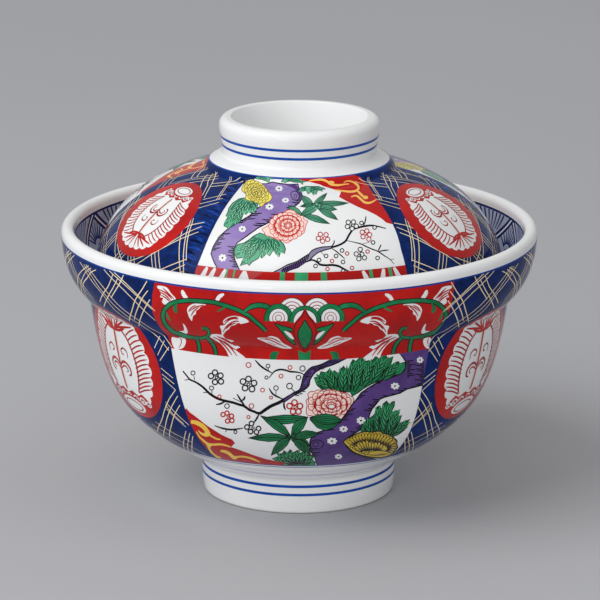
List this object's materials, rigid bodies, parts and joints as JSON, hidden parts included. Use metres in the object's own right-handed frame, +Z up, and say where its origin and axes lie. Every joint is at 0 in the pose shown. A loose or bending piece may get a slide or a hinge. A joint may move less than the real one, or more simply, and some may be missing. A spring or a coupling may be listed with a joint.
{
  "type": "donburi bowl with lid",
  "caption": "Deep round porcelain bowl on a foot ring, with a flared collar that takes a domed lid; the lid's ring knob lets it lie upside down as a dish.",
  "frame": {"origin": "on the table plane, on the common axis of bowl and lid, under the middle of the foot ring", "axes": "+Z up along the axis of revolution; -Y is the front that faces the camera in the picture, with a painted panel in its middle; X to the right"},
  "size_m": [0.14, 0.14, 0.1132],
  "materials": {
    "bowl_porcelain": "clear glaze over white porcelain, painted outside in blue, red, green, purple and yellow",
    "lid_porcelain": "clear glaze over white porcelain, painted outside in blue, red, green, purple and yellow"
  },
  "bodies": {
    "bowl": {"bowl": "bowl_porcelain"},
    "lid": {"lid": "lid_porcelain"}
  },
  "joints": [
    {"name": "lid_lift", "type": "slide", "parent": "bowl", "child": "lid", "axis": [0, 0, 1], "range_m": [0, 0.08]}
  ]
}
